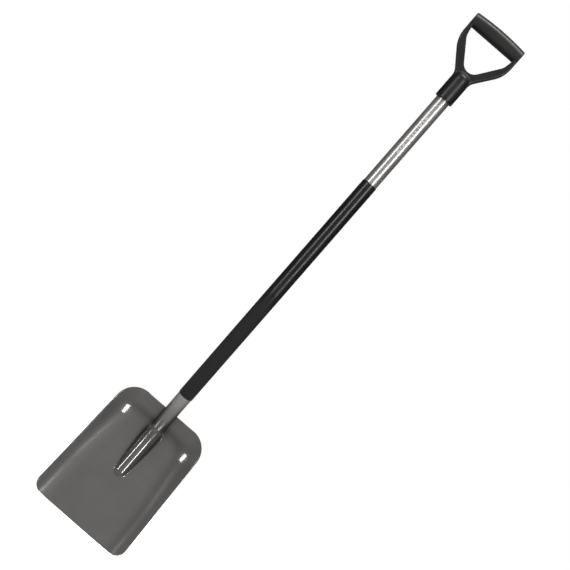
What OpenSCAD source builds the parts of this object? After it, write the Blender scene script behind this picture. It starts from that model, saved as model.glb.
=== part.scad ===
// Square-mouth garden shovel with a cranked steel shaft and a D-handle.
// The origin is the middle of the cutting edge, the upper shaft's line runs
// through it along Z, and the blade's hollow face looks towards -Y.

/* [Blade] */
// Width across the cutting edge
blade_w = 222; // [210:1:240]
// Width that the sides taper to at the back rim
shoulder_w = 203.5; // [195:1:220]
// Length of the blade along its pan
blade_len = 287.5; // [275:1:300]
// Thickness of the pressed sheet
sheet_t = 2; // [1.5:0.1:2.5]
// Radius of the two corners at the cutting edge
toe_r = 20; // [10:1:30]
// Radius of the two corners at the back
shoulder_r = 44; // [32:1:45]
// Forward tilt of the pan against the upper shaft, in degrees
pan_tilt = 20; // [16:1:24]

/* [Blade rims] */
// Height of the back rim above the pan
back_rim_h = 20; // [12:1:26]
// Height of the side rims beside the shoulders
side_rim_h = 20; // [12:1:26]
// Height of the side rims at the cutting edge
toe_rim_h = 13; // [6:1:16]
// Width of the pressed curve along the back and beside the shoulders
rim_w = 62; // [40:1:64]
// Width of the side rims' curve at the cutting edge
toe_rim_w = 48; // [30:1:64]
// Radius that the foot of the side rim swings round on into the back rim
rim_corner_r = 64; // [60:1:75]

/* [Frog] */
// Distance of the frog's mouth from the cutting edge
mouth_at = 235.5; // [225:0.5:240]
// Distance of the nose's centre from the cutting edge
nose_at = 137; // [120:1:150]
// Height of the shaft's axis above the pan at the mouth
mouth_axis_h = 5; // [3:0.5:7]
// Height of the frog's crown at the nose
nose_h = 6; // [4:0.5:9]
// Crown radius at the nose
nose_crown_r = 17.5; // [15:0.5:24]
// Radius of the fillet between the frog and the pan
frog_fillet_r = 6; // [5:0.5:8]
// Length over which the lip fades into the pan above the mouth
lip_len = 12; // [8:1:14]

/* [Shaft tube] */
// Outside diameter of the tube
tube_d = 30; // [28:0.5:31]
// Wall thickness of the tube
tube_wall = 1.8; // [1.2:0.1:2.5]
// Length of tube inside the frog
tube_depth = 52; // [40:1:60]
// Height of the tube's upper end
tube_top_z = 1143; // [1130:1:1143]
// Height where the leaning run and the upper run would meet
crank_z = 575; // [500:5:650]
// Radius of the upper bend
crank_r = 180; // [120:10:260]
// Distance from the mouth to the lower bend's corner
neck_lead = 34; // [30:1:40]
// Straight stretch of tube just above the mouth
neck_straight = 9; // [8:1:12]

/* [Shaft sleeve] */
// Wall thickness of the plastic sleeve
sleeve_wall = 1; // [0.8:0.1:2]
// Height of the sleeve's lower end
sleeve_low_z = 323; // [310:1:360]
// Height of the sleeve's upper end
sleeve_top_z = 875.5; // [800:0.5:900]

/* [Welds and plug] */
// Length of the weld ramp above the frog's mouth
front_weld_len = 8; // [5:0.5:8]
// Radius of the two beads along the back of the frog
rear_bead_r = 3; // [2:0.5:4]
// Depth of the end plug inside the tube
plug_depth = 12; // [8:1:20]
// Thickness of the end plug's head
plug_head_t = 2.5; // [1.5:0.5:4]

/* [Handle] */
// Overall height of the shovel
handle_top_z = 1270.5; // [1268:0.5:1274]
// Width across the D-handle
handle_w = 121; // [116:1:128]
// Height of the crossbar
bar_h = 34; // [31:1:36]
// Front-to-back depth of the crossbar
bar_depth = 28; // [24:1:30]
// How far the crossbar's top drops towards its ends
bar_crown = 3.5; // [1:0.5:5]
// Front-to-back depth of the arms
arm_depth = 22; // [16:1:24]
// Thickness of the soft cover on the crossbar
cover_t = 2.5; // [1.5:0.5:4]
// Outside diameter of the socket
socket_d = 39; // [37:1:42]
// Height of the socket's lower end
socket_low_z = 1093.5; // [1085:0.5:1100]
// Depth of the socket's bore
socket_bore_len = 50.5; // [50:0.5:51]

/* [Handle screw] */
// Height of the screw through the back of the socket
screw_z = 1118; // [1110:1:1128]
// Diameter of the screw's shank
screw_d = 4.8; // [4:0.2:5]
// Diameter of the screw's head
screw_head_d = 9.4; // [8:0.2:10]
// Length of the screw's shank
screw_len = 12; // [9:1:14]

/* [Hidden] */
$fn = 64;

tube_r = tube_d / 2;
slip = 0.3;                      // radial gap between tube and frog
mouth_crown_r = tube_r + slip + sheet_t;
mouth_crown_h = mouth_axis_h + mouth_crown_r;
notch_x = tube_r + 2 * slip;     // half width of the slot above the mouth
rim_bend = 0.8;                  // share of a rim's width that is curved
side_rim_start = 0.3;            // share of the length where side rims start to grow

// Number of cells in each stretch of the blade's grid
toe_rows = 5;
pan_rows = 4;
nose_rows = 7;
frog_rows = 8;
lip_rows = 3;
back_rows = 10;
arch_cols = 5;
fillet_cols = 3;
wing_cols = 11;
half_cols = arch_cols + fillet_cols + wing_cols;
mouth_row = toe_rows + pan_rows + nose_rows + frog_rows;
wing_bias = 1.6;                 // crowds the wing columns towards the rim

// Facets of the bent tube and sleeve
tube_sides = 40;
neck_steps = 7;
crank_steps = 5;

// ---- Small helpers ----

function mix(a, b, t) = a + (b - a) * t;
function unit(t) = max(0, min(1, t));
function smooth(t) = let (u = unit(t)) u * u * (3 - 2 * u);
function arc_points(centre, r, from, to, steps) =
    [for (i = [0:steps]) let (a = mix(from, to, i / steps)) centre + r * [cos(a), sin(a)]];
// Crossing point of the lines n1.p = d1 and n2.p = d2
function crossing(n1, d1, n2, d2) =
    [d1 * n2[1] - d2 * n1[1], n1[0] * d2 - n2[0] * d1] / (n1[0] * n2[1] - n1[1] * n2[0]);

// ---- Blade surface: `a` runs up the pan from the cutting edge, `x` across ----

function side_x(a) = mix(blade_w, shoulder_w, a / blade_len) / 2;
function corner_cut(r, d) = d < r ? r - sqrt(r * r - (r - d) * (r - d)) : 0;
function outline_x(a) = side_x(a) - corner_cut(toe_r, a) - corner_cut(shoulder_r, blade_len - a);

// A rim starts as a bend and ends as a straight slope; u is 0 at its foot and 1 at its edge
function rim_profile(u) =
    (u < rim_bend ? u * u / (2 * rim_bend) : u - rim_bend / 2) / (1 - rim_bend / 2);
function side_growth(a) = smooth((a / blade_len - side_rim_start) / (1 - side_rim_start));

// Height of the rims; at the shoulders the side rim swings round into the back rim
function rim_height(x, a) =
    let (
        qx = abs(x) - (side_x(a) - rim_corner_r),
        qa = a - (blade_len - rim_corner_r),
        inset = rim_corner_r - (qx > 0 && qa > 0 ? norm([qx, qa]) : max(qx, qa)),
        turn = qa <= 0 ? 0 : qx <= 0 ? 1 : smooth(atan2(qa, qx) / 90),
        height = mix(mix(toe_rim_h, side_rim_h, side_growth(a)), back_rim_h, turn),
        width = mix(toe_rim_w, rim_w, side_growth(a))
    )
    height * rim_profile(max(0, 1 - inset / width));

// The frog's section at `a`: [crown radius, height of the crown's centre, foot x, flank x]
function frog_share(a) = unit((mouth_at - a) / (mouth_at - nose_at));
function frog_section(a) =
    let (
        t = frog_share(a),
        r = mix(mouth_crown_r, nose_crown_r, t * t),
        c = mix(mouth_crown_h, nose_h, t) - r,
        foot = sqrt(pow(r + frog_fillet_r, 2) - pow(frog_fillet_r - c, 2))
    )
    [r, c, foot, foot * r / (r + frog_fillet_r)];

function frog_height(x, a) =
    let (s = frog_section(a), d = a < nose_at ? norm([x, nose_at - a]) : abs(x))
    d <= s[3] ? s[1] + sqrt(s[0] * s[0] - d * d) :
    d < s[2] ? frog_fillet_r - sqrt(pow(frog_fillet_r, 2) - pow(s[2] - d, 2)) : 0;

nose_section = frog_section(nose_at);
nose_end = nose_at - nose_section[2];
lip_end = mouth_at + lip_len;

// Stations of the grid's rows along the pan
rows = concat(
    [for (i = [0:toe_rows - 1]) toe_r * (1 - cos(90 * i / toe_rows))],
    [for (i = [0:pan_rows - 1]) mix(toe_r, nose_end, i / pan_rows)],
    [for (i = [0:nose_rows - 1]) mix(nose_end, nose_at, i / nose_rows)],
    [for (i = [0:frog_rows - 1]) mix(nose_at, mouth_at, i / frog_rows)],
    [for (i = [0:lip_rows - 1]) mix(mouth_at, lip_end, i / lip_rows)],
    [for (i = [0:back_rows]) mix(lip_end, blade_len, sin(90 * i / back_rows))]
);
last_row = len(rows) - 1;

// Distance from the centre line of column k, counted from the centre outwards
function arch_x(k, s) = s[0] * sin(asin(s[3] / s[0]) * k / arch_cols);
function fillet_x(m, s) =
    s[2] - frog_fillet_r * sin(asin((s[2] - s[3]) / frog_fillet_r) * (1 - m / fillet_cols));
function wing_x(m, s, a) =
    mix(s[2], outline_x(a), 1 - pow(1 - m / wing_cols, wing_bias));
function column_x(k, s, a) =
    k < arch_cols ? arch_x(k, s) :
    k < arch_cols + fillet_cols ? fillet_x(k - arch_cols, s) :
    wing_x(k - arch_cols - fillet_cols, s, a);

// Point of the front face at row i and signed column j
function front_point(i, j) =
    let (
        a = rows[i],
        k = abs(j),
        s = frog_section(a),
        fade = smooth((a - mouth_at) / lip_len),
        x = column_x(k, s, a),
        to_foot = unit((s[2] - x) / (s[2] - s[3])),
        shifted = x - (s[3] - notch_x) * fade * to_foot,
        h = frog_height(x, a) * (1 - fade) + rim_height(shifted, a)
    )
    [sign(j) * shifted, -h, a];

front = [for (i = [0:last_row]) [for (j = [-half_cols:half_cols]) front_point(i, j)]];
function at(i, j) = front[i][j + half_cols];

// The neighbours used for the surface normal stop at the slot and at the outline
function col_step(i, j, step) =
    abs(j + step) > half_cols || (i > mouth_row && abs(j + step) < arch_cols) ? j : j + step;
function row_step(i, j, step) =
    i + step < 0 || i + step > last_row || (i == mouth_row && step > 0 && abs(j) < arch_cols)
    ? i : i + step;
function front_normal(i, j) =
    let (
        across = at(i, col_step(i, j, 1)) - at(i, col_step(i, j, -1)),
        along = at(row_step(i, j, 1), j) - at(row_step(i, j, -1), j),
        n = cross(across, along)
    )
    n / norm(n);
function slot_point(i, j) = i > mouth_row && abs(j) < arch_cols;
back = [for (i = [0:last_row]) [for (j = [-half_cols:half_cols])
    slot_point(i, j) ? at(i, j) : at(i, j) - sheet_t * front_normal(i, j)]];

row_len = 2 * half_cols + 1;
layer = row_len * len(rows);
function index(i, j) = i * row_len + j + half_cols;
function is_cell(i, j) =
    i >= 0 && i < last_row && j >= -half_cols && j < half_cols
    && !(i >= mouth_row && j >= -arch_cols && j < arch_cols);
function edge_faces(p, q) = [[p, q, q + layer], [p, q + layer, p + layer]];
function cell_faces(i, j) =
    let (p = index(i, j), q = index(i, j + 1), r = index(i + 1, j + 1), s = index(i + 1, j))
    concat(
        [[p, s, r], [p, r, q]],
        [[p + layer, r + layer, s + layer], [p + layer, q + layer, r + layer]],
        is_cell(i - 1, j) ? [] : edge_faces(p, q),
        is_cell(i, j + 1) ? [] : edge_faces(q, r),
        is_cell(i + 1, j) ? [] : edge_faces(r, s),
        is_cell(i, j - 1) ? [] : edge_faces(s, p)
    );

// ---- Shaft line: [y, z] points in the side view ----

// The middle of the sheet's thickness at the cutting edge is the origin
function pan_point(a, h) =
    let (d = h + sheet_t / 2)
    [a * sin(pan_tilt) - d * cos(pan_tilt), a * cos(pan_tilt) + d * sin(pan_tilt)];
sink = atan((mouth_crown_h - nose_h) / (mouth_at - nose_at));
frog_lean = pan_tilt - sink;
frog_dir = [sin(frog_lean), cos(frog_lean)];
mouth_point = pan_point(mouth_at, mouth_axis_h);
neck_corner = mouth_point + neck_lead * frog_dir;
shaft_lean = atan(neck_corner[0] / (crank_z - neck_corner[1]));
lean_dir = [-sin(shaft_lean), cos(shaft_lean)];
neck_r = (neck_lead - neck_straight) / tan((shaft_lean + frog_lean) / 2);
neck_low = mouth_point + neck_straight * frog_dir;
neck_centre = neck_low + neck_r * [-cos(frog_lean), sin(frog_lean)];
neck_top = neck_centre + neck_r * [cos(shaft_lean), sin(shaft_lean)];
crank_tangent = crank_r * tan(shaft_lean / 2);
crank_low = [0, crank_z] - crank_tangent * lean_dir;
crank_top_z = crank_z + crank_tangent;

// Puts a child's Z axis on the shaft line at the frog's mouth
module at_mouth() {
    translate([0, mouth_point[0], mouth_point[1]]) rotate([-frog_lean, 0, 0]) children();
}
// Puts a child in the pan's own frame: Z up the pan, -Y out of its front face
module on_pan() {
    rotate([-pan_tilt, 0, 0]) translate([0, -sheet_t / 2, 0]) children();
}
// Stations on the shaft line, each [y, z, forward lean], through the bends
neck_line = [for (i = [0:neck_steps])
    let (g = mix(frog_lean, -shaft_lean, i / neck_steps), p = neck_centre + neck_r * [cos(g), -sin(g)])
    [p[0], p[1], g]];
crank_line = [for (i = [0:crank_steps])
    let (g = mix(-shaft_lean, 0, i / crank_steps))
    [crank_r * (1 - cos(g)), crank_top_z + crank_r * sin(g), g]];

// Sweeps a ring-shaped section along stations on the shaft line
module swept_tube(line, r, bore_r) {
    step = 360 / tube_sides;
    rim = [for (radius = [r, bore_r], p = line, k = [0:tube_sides - 1])
        let (w = radius * sin(k * step))
        [radius * cos(k * step), p[0] + w * cos(p[2]), p[1] - w * sin(p[2])]];
    bore = len(line) * tube_sides;
    last = (len(line) - 1) * tube_sides;
    walls = [for (i = [0:len(line) - 2], k = [0:tube_sides - 1])
        let (
            p = i * tube_sides + k,
            q = i * tube_sides + (k + 1) % tube_sides,
            up = tube_sides
        )
        each [[p, p + up, q + up], [p, q + up, q],
              [p + bore, q + bore + up, p + bore + up], [p + bore, q + bore, q + bore + up]]];
    ends = [for (k = [0:tube_sides - 1])
        let (q = (k + 1) % tube_sides)
        each [[k, q, q + bore], [k, q + bore, k + bore],
              [q + last, k + last, k + last + bore], [q + last, k + last + bore, q + last + bore]]];
    polyhedron(points = rim, faces = concat(walls, ends));
}

// ---- Blade and welds ----

module blade() {
    faces = [for (i = [0:last_row - 1], j = [-half_cols:half_cols - 1])
        if (is_cell(i, j)) each cell_faces(i, j)];
    points = concat([for (row = front) each row], [for (row = back) each row]);
    color("dimgray") on_pan() polyhedron(points = points, faces = faces);
}

// Ramp of weld from the frog's lip down onto the tube
module front_weld() {
    tip_r = tube_r + 4 * slip;
    half_w = 2 * tube_r;
    color("gray") difference() {
        on_pan() translate([0, -mouth_axis_h, mouth_at])
            intersection() {
                cylinder(r1 = mouth_crown_r, r2 = tip_r, h = front_weld_len);
                translate([-half_w, -2 * half_w, 0]) cube([2 * half_w, 2 * half_w, front_weld_len]);
            }
        at_mouth() cylinder(r = tube_r, h = 2 * front_weld_len, center = true);
    }
}

// Where a bead touches both the tube and the back of the frog's fillet, as [x, height]
function bead_centre(a) =
    let (
        s = frog_section(a),
        axis_h = mouth_axis_h - (mouth_at - a) * tan(sink),
        tube_c = [0, axis_h],
        flare_c = [s[2], frog_fillet_r],
        d = norm(flare_c - tube_c),
        to_tube = tube_r + rear_bead_r,
        to_flare = frog_fillet_r + sheet_t + rear_bead_r,
        along = (to_tube * to_tube - to_flare * to_flare + d * d) / (2 * d),
        down = sqrt(to_tube * to_tube - along * along),
        u = (flare_c - tube_c) / d
    )
    tube_c + along * u + down * [u[1], -u[0]];

// Two beads along the back, between the tube and the blade
module rear_weld() {
    low_a = mouth_at - tube_depth + 2 * rear_bead_r;
    top_a = mouth_at - rear_bead_r;
    low = bead_centre(low_a);
    top = bead_centre(top_a);
    low_p = [low[0], -low[1], low_a];
    run = [top[0] - low[0], low[1] - top[1], top_a - low_a];
    color("gray") for (side = [0, 1]) on_pan() mirror([side, 0, 0]) translate(low_p)
        rotate([0, acos(run[2] / norm(run)), atan2(run[1], run[0])]) {
            cylinder(r = rear_bead_r, h = norm(run));
            sphere(r = rear_bead_r);
            translate([0, 0, norm(run)]) sphere(r = rear_bead_r);
        }
}

// ---- Shaft ----

module screw_hole() {
    translate([0, 0, screw_z]) rotate([-90, 0, 0]) cylinder(d = screw_d, h = socket_d);
}

module shaft_tube() {
    low = mouth_point - tube_depth * frog_dir;
    line = concat([[low[0], low[1], frog_lean]], neck_line, crank_line, [[0, tube_top_z, 0]]);
    color("silver") difference() {
        swept_tube(line, tube_r, tube_r - tube_wall);
        screw_hole();
    }
}

module tube_end_plug() {
    bore_r = tube_r - tube_wall;
    color("black") at_mouth() translate([0, 0, -tube_depth]) {
        cylinder(r = bore_r, h = plug_depth);
        translate([0, 0, -plug_head_t]) cylinder(r = tube_r - slip, h = plug_head_t);
    }
}

module shaft_sleeve() {
    low = neck_top + (sleeve_low_z - neck_top[1]) / lean_dir[1] * lean_dir;
    line = concat([[low[0], low[1], -shaft_lean]], crank_line, [[0, sleeve_top_z, 0]]);
    color("black") swept_tube(line, tube_r + sleeve_wall, tube_r);
}

// ---- Handle ----

half_w = handle_w / 2;
bar_low_z = handle_top_z - bar_h;
arm_slope = 36.3;                // outer edge of an arm against the vertical
arm_outer_r = 61;                // bend at an arm's shoulder
arm_outer_z = bar_low_z - 10.5;  // height where that bend starts
root_r = 24;                     // bend where an arm meets the socket
open_slope = 35.5;               // inner edge of an arm against the vertical
open_top_slope = 8.5;            // inner edge beside the crossbar
open_root_r = 22.7;              // bottom of the hand opening
open_root_z = bar_low_z - 50.3;
open_elbow_r = 28;               // inner bend at an arm's shoulder
open_top_x = half_w - 8;         // half width of the opening under the crossbar
socket_dome_h = 13;              // rounded top of the socket
socket_top_z = socket_low_z + socket_bore_len + 3;
screw_seat_y = socket_d / 2 - 2.2;
screw_head_h = 2.6;

// Right half of the yoke's outline from the crossbar down to the socket
function outer_half() =
    let (
        socket_r = socket_d / 2,
        start = [half_w - arm_outer_r, arm_outer_z],
        reach = cos(arm_slope) * (socket_r + root_r - start[0]) - arm_outer_r - root_r,
        root = [socket_r + root_r, arm_outer_z + reach / sin(arm_slope)]
    )
    concat(
        [[half_w, bar_low_z + bar_h / 2]],
        arc_points(start, arm_outer_r, 0, -arm_slope, 8),
        arc_points(root, root_r, 180 - arm_slope, 180, 6)
    );

// Right half of the hand opening from its lowest point up to the crossbar
function open_half() =
    let (
        root = [0, open_root_z],
        arm_n = [cos(open_slope), -sin(open_slope)],
        top_n = [cos(open_top_slope), -sin(open_top_slope)],
        top = [open_top_x, bar_low_z],
        elbow = crossing(arm_n, arm_n * root + open_root_r - open_elbow_r,
                         top_n, top_n * top - open_elbow_r),
        rise = bar_h / 2
    )
    concat(
        arc_points(root, open_root_r, -90, -open_slope, 7),
        arc_points(elbow, open_elbow_r, -open_slope, -open_top_slope, 5),
        [top + rise * [tan(open_top_slope), 1]]
    );

function mirrored(points) =
    concat(points, [for (i = [len(points) - 1:-1:0]) [-points[i][0], points[i][1]]]);

// Extrudes a front-view outline evenly to both sides of the shaft line
module plate(depth) {
    translate([0, depth / 2, 0]) rotate([90, 0, 0]) linear_extrude(depth) children();
}

// Crossbar with a rounded section, `inset` inside the finished surface
module bar_body(inset) {
    r = bar_depth / 2 - inset;
    len_x = handle_w - 2 * inset;
    low_z = bar_low_z + bar_depth / 2;
    high_z = handle_top_z - bar_depth / 2;
    crown_r = (half_w * half_w + bar_crown * bar_crown) / (2 * bar_crown);
    intersection() {
        translate([-len_x / 2, 0, 0]) union() {
            for (z = [low_z, high_z])
                translate([0, 0, z]) rotate([0, 90, 0]) cylinder(r = r, h = len_x);
            translate([0, -r, low_z]) cube([len_x, 2 * r, high_z - low_z]);
        }
        translate([0, bar_depth, handle_top_z - inset - crown_r]) rotate([90, 0, 0])
            cylinder(r = crown_r, h = 2 * bar_depth, $fn = 360);
    }
}

// Arms up to the crossbar, without the space that the soft cover takes
module arms() {
    plate(arm_depth) difference() {
        polygon(mirrored(outer_half()));
        polygon(mirrored(open_half()));
    }
}

// Short tongues that carry the arms into the crossbar's core
module tongues() {
    inner_x = open_top_x + 1;
    for (side = [0, 1]) mirror([side, 0, 0])
        translate([inner_x, -arm_depth / 4, bar_low_z - 1])
            cube([half_w - cover_t - inner_x, arm_depth / 2, bar_h / 2]);
}

module handle_yoke() {
    dome = [for (i = [0:8]) [socket_d / 2 * cos(90 * i / 8), socket_dome_h * sin(90 * i / 8)]];
    color([0.16, 0.16, 0.17]) difference() {
        union() {
            difference() {
                arms();
                bar_body(0);
            }
            bar_body(cover_t);
            tongues();
            translate([0, 0, socket_low_z]) cylinder(d = socket_d, h = socket_top_z - socket_low_z);
            translate([0, 0, socket_top_z]) rotate_extrude() polygon(concat([[0, 0]], dome));
        }
        translate([0, 0, socket_low_z - 1]) cylinder(r = tube_r, h = socket_bore_len + 1);
        screw_hole();
        translate([0, screw_seat_y, screw_z]) rotate([-90, 0, 0])
            cylinder(d = screw_head_d, h = socket_d);
    }
}

module grip_cover() {
    color([0.24, 0.23, 0.22]) difference() {
        bar_body(0);
        bar_body(cover_t);
        tongues();
    }
}

// Pan-head screw with a cross recess
module handle_screw() {
    slot_l = screw_head_d * 0.55;
    slot_w = 1.1;
    slot_depth = 1.6;
    top_d = screw_head_d * 0.7;
    color("lightgray") translate([0, screw_seat_y, screw_z]) rotate([90, 0, 0]) difference() {
        union() {
            cylinder(d = screw_d, h = screw_len);
            translate([0, 0, -screw_head_h])
                cylinder(d1 = top_d, d2 = screw_head_d, h = screw_head_h);
        }
        for (turn = [0, 90]) rotate([0, 0, turn])
            translate([-slot_l / 2, -slot_w / 2, -screw_head_h - 1])
                cube([slot_l, slot_w, slot_depth + 1]);
    }
}

blade();
shaft_tube();
front_weld();
rear_weld();
tube_end_plug();
shaft_sleeve();
handle_yoke();
grip_cover();
handle_screw();
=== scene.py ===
"""Looks of the square-mouth shovel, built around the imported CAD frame. Lengths are metres."""

import math

import bmesh
import bpy
import numpy as np
from mathutils import Matrix, Vector


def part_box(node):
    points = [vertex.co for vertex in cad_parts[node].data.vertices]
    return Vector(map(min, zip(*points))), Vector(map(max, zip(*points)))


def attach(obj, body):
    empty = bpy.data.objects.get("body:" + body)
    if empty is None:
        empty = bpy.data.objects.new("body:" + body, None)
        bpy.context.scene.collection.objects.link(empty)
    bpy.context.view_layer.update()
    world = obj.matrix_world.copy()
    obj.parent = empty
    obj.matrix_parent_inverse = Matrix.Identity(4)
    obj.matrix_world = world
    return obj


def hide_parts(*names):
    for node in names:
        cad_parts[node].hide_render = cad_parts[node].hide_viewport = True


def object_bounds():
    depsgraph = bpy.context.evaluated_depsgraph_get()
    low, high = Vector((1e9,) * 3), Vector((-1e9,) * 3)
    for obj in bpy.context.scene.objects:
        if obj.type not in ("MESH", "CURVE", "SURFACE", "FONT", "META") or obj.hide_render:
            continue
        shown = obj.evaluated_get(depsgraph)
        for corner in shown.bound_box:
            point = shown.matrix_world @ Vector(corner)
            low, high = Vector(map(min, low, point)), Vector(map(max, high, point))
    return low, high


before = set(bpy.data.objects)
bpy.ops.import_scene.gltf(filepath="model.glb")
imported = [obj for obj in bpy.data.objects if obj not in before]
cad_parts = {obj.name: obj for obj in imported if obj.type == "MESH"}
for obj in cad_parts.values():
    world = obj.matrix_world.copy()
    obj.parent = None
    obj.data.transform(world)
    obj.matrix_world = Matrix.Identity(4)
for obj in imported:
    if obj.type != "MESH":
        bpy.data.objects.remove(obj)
cad_low, cad_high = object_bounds()

MM = 0.001

# ---- Driving sizes: the blade, frog and shaft line follow the CAD model's own rules ----

blade_low, blade_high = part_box("blade")
tube_low, tube_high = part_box("shaft_tube")
sleeve_low, sleeve_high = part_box("shaft_sleeve")
yoke_low, yoke_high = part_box("handle_yoke")
grip_low, grip_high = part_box("grip_cover")

PAN_TILT = math.radians(20)
BLADE_W = blade_high[0] - blade_low[0]
SHOULDER_TAPER = 18.5 * MM  # how much narrower the blade is at its back rim
SHOULDER_W = BLADE_W - SHOULDER_TAPER
BLADE_LEN = 287.5 * MM
SHEET_T = 2 * MM
TOE_R = 20 * MM
SHOULDER_R = 44 * MM
BACK_RIM_H = 20 * MM
SIDE_RIM_H = 20 * MM
TOE_RIM_H = 13 * MM
RIM_W = 62 * MM
TOE_RIM_W = 48 * MM
RIM_CORNER_R = 64 * MM
RIM_BEND = 0.8              # share of a rim's width that is curved
SIDE_RIM_START = 0.3        # share of the length where the side rims start to grow

TUBE_R = (tube_high[0] - tube_low[0]) / 2
TUBE_WALL = 1.8 * MM
SLEEVE_R = (sleeve_high[0] - sleeve_low[0]) / 2
SLIP = 0.3 * MM             # radial gap between tube and frog
MOUTH_AT = 235.5 * MM       # where the frog's mouth lies, up the pan
MOUTH_AXIS_H = 5 * MM       # height of the tube's middle over the pan at the mouth
MOUTH_CROWN_R = TUBE_R + SLIP + SHEET_T
MOUTH_CROWN_H = MOUTH_AXIS_H + MOUTH_CROWN_R
NOSE_AT = 137 * MM
NOSE_H = 6 * MM
NOSE_CROWN_R = 17.5 * MM
FROG_FILLET_R = 6 * MM
LIP_LEN = 12 * MM
NOTCH_X = TUBE_R + 2 * SLIP  # half width of the slot above the mouth

TUBE_DEPTH = 52 * MM        # how far the tube runs into the frog
TUBE_EDGE_R = 0.5 * MM
SLEEVE_LOW_Z = 323 * MM
SLEEVE_EDGE_R = 0.8 * MM
SLEEVE_GAP = 0.02 * MM      # radial gap between sleeve and tube
CRANK_Z = 575 * MM          # height where the leaning and upright parts would meet
CRANK_R = 180 * MM
NECK_LEAD = 34 * MM         # from the mouth to where the neck's two straights would meet
NECK_STRAIGHT = 9 * MM      # from the mouth to the start of the neck's bend


# ---- Small helpers ----

TINY = 1e-9
MERGE_DISTANCE = 0.01 * MM


def mix(a, b, t):
    return a + (b - a) * t


def smooth(t):
    t = np.clip(t, 0, 1)
    return t * t * (3 - 2 * t)


def placed(name, data):
    """An object for the mesh, light or camera, linked into the scene."""
    obj = bpy.data.objects.new(name, data)
    bpy.context.scene.collection.objects.link(obj)
    return obj


def new_object(name, verts, faces):
    mesh = bpy.data.meshes.new(name)
    mesh.from_pydata([tuple(v) for v in verts], [], faces)
    mesh.validate()
    mesh.update()
    return placed(name, mesh)


def mesh_from(work, name):
    """Turns a bmesh into a mesh and frees it."""
    mesh = bpy.data.meshes.new(name)
    work.to_mesh(mesh)
    work.free()
    return mesh


def finish_piece(obj, material, sharp_deg, nodes=()):
    """Smooth shading, material, and the piece's place in the frame.

    Edges that turn by more than `sharp_deg` stay sharp; `nodes` are the CAD nodes it replaces.
    """
    mesh = obj.data
    mesh.materials.clear()
    mesh.materials.append(material)
    mesh.polygons.foreach_set("use_smooth", [True] * len(mesh.polygons))
    mesh.set_sharp_from_angle(angle=math.radians(sharp_deg))
    mesh.update()
    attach(obj, "root")
    if nodes:
        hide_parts(*nodes)


def bake(obj):
    """Replaces an object's mesh by its evaluated mesh, so that no modifier stays on it."""
    graph = bpy.context.evaluated_depsgraph_get()
    mesh = bpy.data.meshes.new_from_object(obj.evaluated_get(graph))
    obj.modifiers.clear()
    obj.data = mesh


def clean_up(obj):
    """Merges coincident vertices and makes the normals point outwards."""
    work = bmesh.new()
    work.from_mesh(obj.data)
    bmesh.ops.remove_doubles(work, verts=work.verts, dist=MERGE_DISTANCE)
    bmesh.ops.dissolve_degenerate(work, edges=work.edges, dist=MERGE_DISTANCE)
    bmesh.ops.recalc_face_normals(work, faces=work.faces)
    work.to_mesh(obj.data)
    work.free()


def closed_loop_faces(first, second, count):
    """Quads between two rings of `count` vertices that start at `first` and `second`."""
    return [
        (first + k, first + (k + 1) % count, second + (k + 1) % count, second + k)
        for k in range(count)
    ]


# ---- Blade ----

def side_x(a):
    return mix(BLADE_W, SHOULDER_W, a / BLADE_LEN) / 2


def corner_cut(r, d):
    return r - math.sqrt(r * r - (r - d) ** 2) if d < r else 0.0


def outline_x(a):
    return side_x(a) - corner_cut(TOE_R, a) - corner_cut(SHOULDER_R, BLADE_LEN - a)


def rim_profile(u):
    """Rise of a rim, 0 at its foot and 1 at its edge: a bend, then a straight slope."""
    curved = u * u / (2 * RIM_BEND) if u < RIM_BEND else u - RIM_BEND / 2
    return curved / (1 - RIM_BEND / 2)


def rim_height(x, a):
    """Height above the pan; at the shoulders the side rim swings round into the back rim."""
    qx = abs(x) - (side_x(a) - RIM_CORNER_R)
    qa = a - (BLADE_LEN - RIM_CORNER_R)
    in_corner = qx > 0 and qa > 0
    inset = RIM_CORNER_R - (math.hypot(qx, qa) if in_corner else max(qx, qa))
    turn = 0.0
    if qa > 0:
        turn = 1.0 if qx <= 0 else float(smooth(math.atan2(qa, qx) / (math.pi / 2)))
    growth = float(smooth((a / BLADE_LEN - SIDE_RIM_START) / (1 - SIDE_RIM_START)))
    height = mix(mix(TOE_RIM_H, SIDE_RIM_H, growth), BACK_RIM_H, turn)
    width = mix(TOE_RIM_W, RIM_W, growth)
    return height * rim_profile(max(0.0, 1 - inset / width))


def frog_section(a):
    """Crown radius, height of its centre, foot and flank distance from the middle."""
    t = min(1.0, max(0.0, (MOUTH_AT - a) / (MOUTH_AT - NOSE_AT)))
    r = mix(MOUTH_CROWN_R, NOSE_CROWN_R, t * t)
    c = mix(MOUTH_CROWN_H, NOSE_H, t) - r
    foot = math.sqrt((r + FROG_FILLET_R) ** 2 - (FROG_FILLET_R - c) ** 2)
    return r, c, foot, foot * r / (r + FROG_FILLET_R)


def frog_height(x, a, section):
    r, c, foot, flank = section
    d = math.hypot(x, NOSE_AT - a) if a < NOSE_AT else abs(x)
    if d <= flank:
        return c + math.sqrt(r * r - d * d)
    if d < foot:
        return FROG_FILLET_R - math.sqrt(FROG_FILLET_R ** 2 - (foot - d) ** 2)
    return 0.0


# The middle of the sheet's thickness at the cutting edge is the frame's origin
PAN_TO_WORLD = Matrix.Rotation(-PAN_TILT, 4, "X") @ Matrix.Translation((0, -SHEET_T / 2, 0))


def pan_to_world(x, a, h):
    """World place of the point `a` up the pan and `h` in front of it."""
    return PAN_TO_WORLD @ Vector((x, -h, a))


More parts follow.
